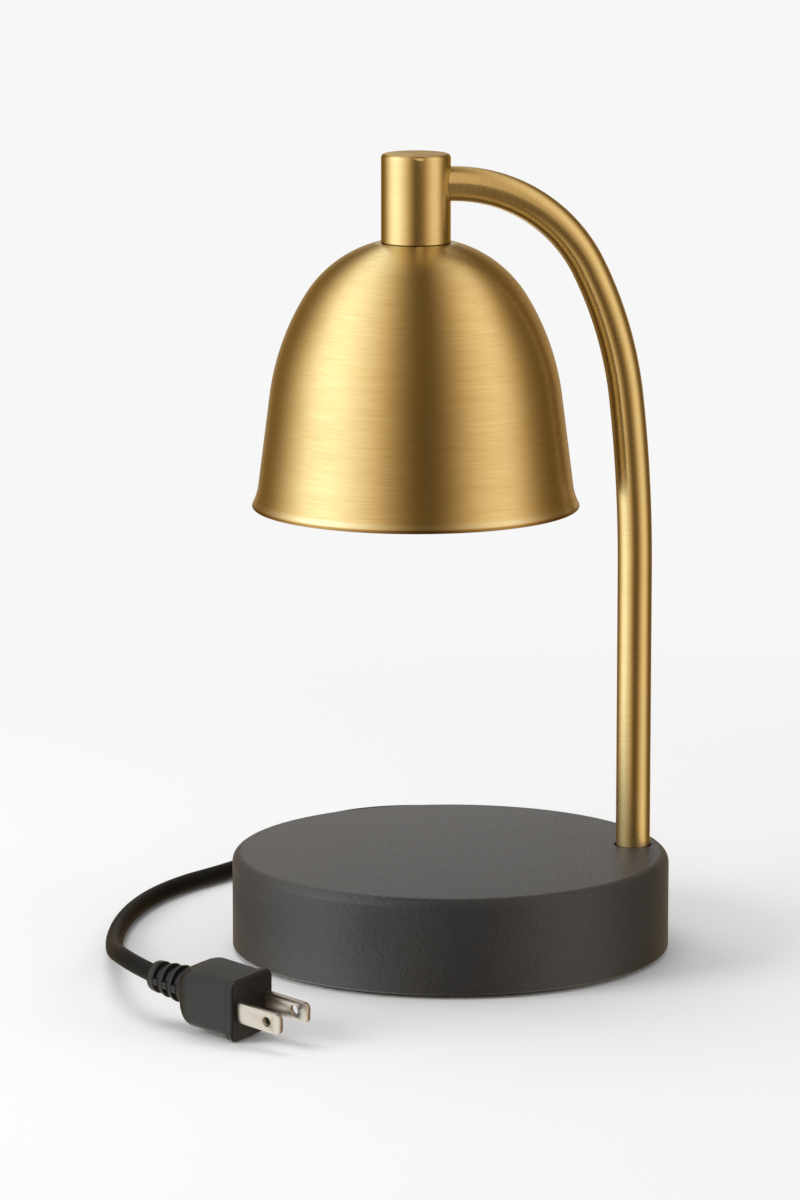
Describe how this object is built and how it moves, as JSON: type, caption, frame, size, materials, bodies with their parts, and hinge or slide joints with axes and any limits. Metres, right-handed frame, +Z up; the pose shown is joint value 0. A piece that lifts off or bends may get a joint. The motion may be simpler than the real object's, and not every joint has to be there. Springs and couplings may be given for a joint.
{
  "type": "candle warmer lamp",
  "caption": "Small table lamp: a bent tube on a round weighted base holds a bell shade and a reflector lamp above it, with a dimmer knob, a mains lead and a plug.",
  "frame": {"origin": "middle of the round base, on the table", "axes": "+Z up; the bent tube lies in the XZ plane, with its post towards +X; the mains lead leaves the back of the base, towards +Y"},
  "size_m": [0.1838, 0.2814, 0.2559],
  "materials": {
    "brass_finish": "brushed round the form, lacquered",
    "base_coat": "satin charcoal powder coat with a fine grain",
    "iron": "as cast",
    "steel": "zinc plated",
    "plain_brass": "turned, unlacquered",
    "foam": "closed-cell foam, matt",
    "ceramic": null,
    "reflector_glass": "pressed glass with a mirror coating",
    "clear_glass": "clear glass",
    "wire_sleeve": "soft insulation",
    "knob_plastic": "moulded, matt",
    "board": "solder mask",
    "board_parts": "moulded cases",
    "cord_rubber": "smooth, matt, faintly creased",
    "tie_fabric": "woven hook-and-loop strap",
    "plug_plastic": "moulded, satin",
    "blade_nickel": "nickel-plated brass"
  },
  "bodies": {
    "base": {"base_shell": "base_coat", "base_weight": "iron", "bottom_cover": "steel", "cover_screws": "steel", "foot_pad": "foam", "arm_tube": "brass_finish", "arm_stud": "steel", "arm_washer": "steel", "arm_nut": "steel", "arm_wires": "wire_sleeve", "socket_cup": "brass_finish", "shade": "brass_finish", "shade_washer": "steel", "shade_nipple": "plain_brass", "shade_nut": "steel", "holder_strap": "steel", "holder_screws": "steel", "lamp_holder": "ceramic", "holder_contacts": "plain_brass", "dimmer_nut": "steel", "dimmer_body": "knob_plastic", "dimmer_board": "board", "board_parts": "board_parts", "cord_relief": "cord_rubber", "cord_inner": "cord_rubber", "cord_cores": "wire_sleeve", "cord_clamp": "steel", "clamp_screws": "steel", "cord_exit": "cord_rubber", "cord_coil": "cord_rubber", "cord_tie": "tie_fabric", "cord_lead": "cord_rubber", "plug_body": "plug_plastic", "plug_blades": "blade_nickel"},
    "knob": {"dimmer_knob": "knob_plastic", "dimmer_spindle": "steel"},
    "bulb": {"bulb_base": "ceramic", "bulb_reflector": "reflector_glass", "bulb_lens": "clear_glass", "bulb_pins": "steel", "bulb_capsule": "clear_glass"}
  },
  "joints": [
    {"name": "knob_turn", "type": "hinge", "parent": "base", "child": "knob", "pos_m": [0.05663, 0.04115, 0.0155], "axis": [0.809, 0.5878, 0], "range_deg": [-270, 0]},
    {"name": "bulb_twist", "type": "hinge", "parent": "base", "child": "bulb", "pos_m": [-0.01133, 0, 0.195], "axis": [0, 0, 1], "range_deg": [-25, 0]}
  ]
}
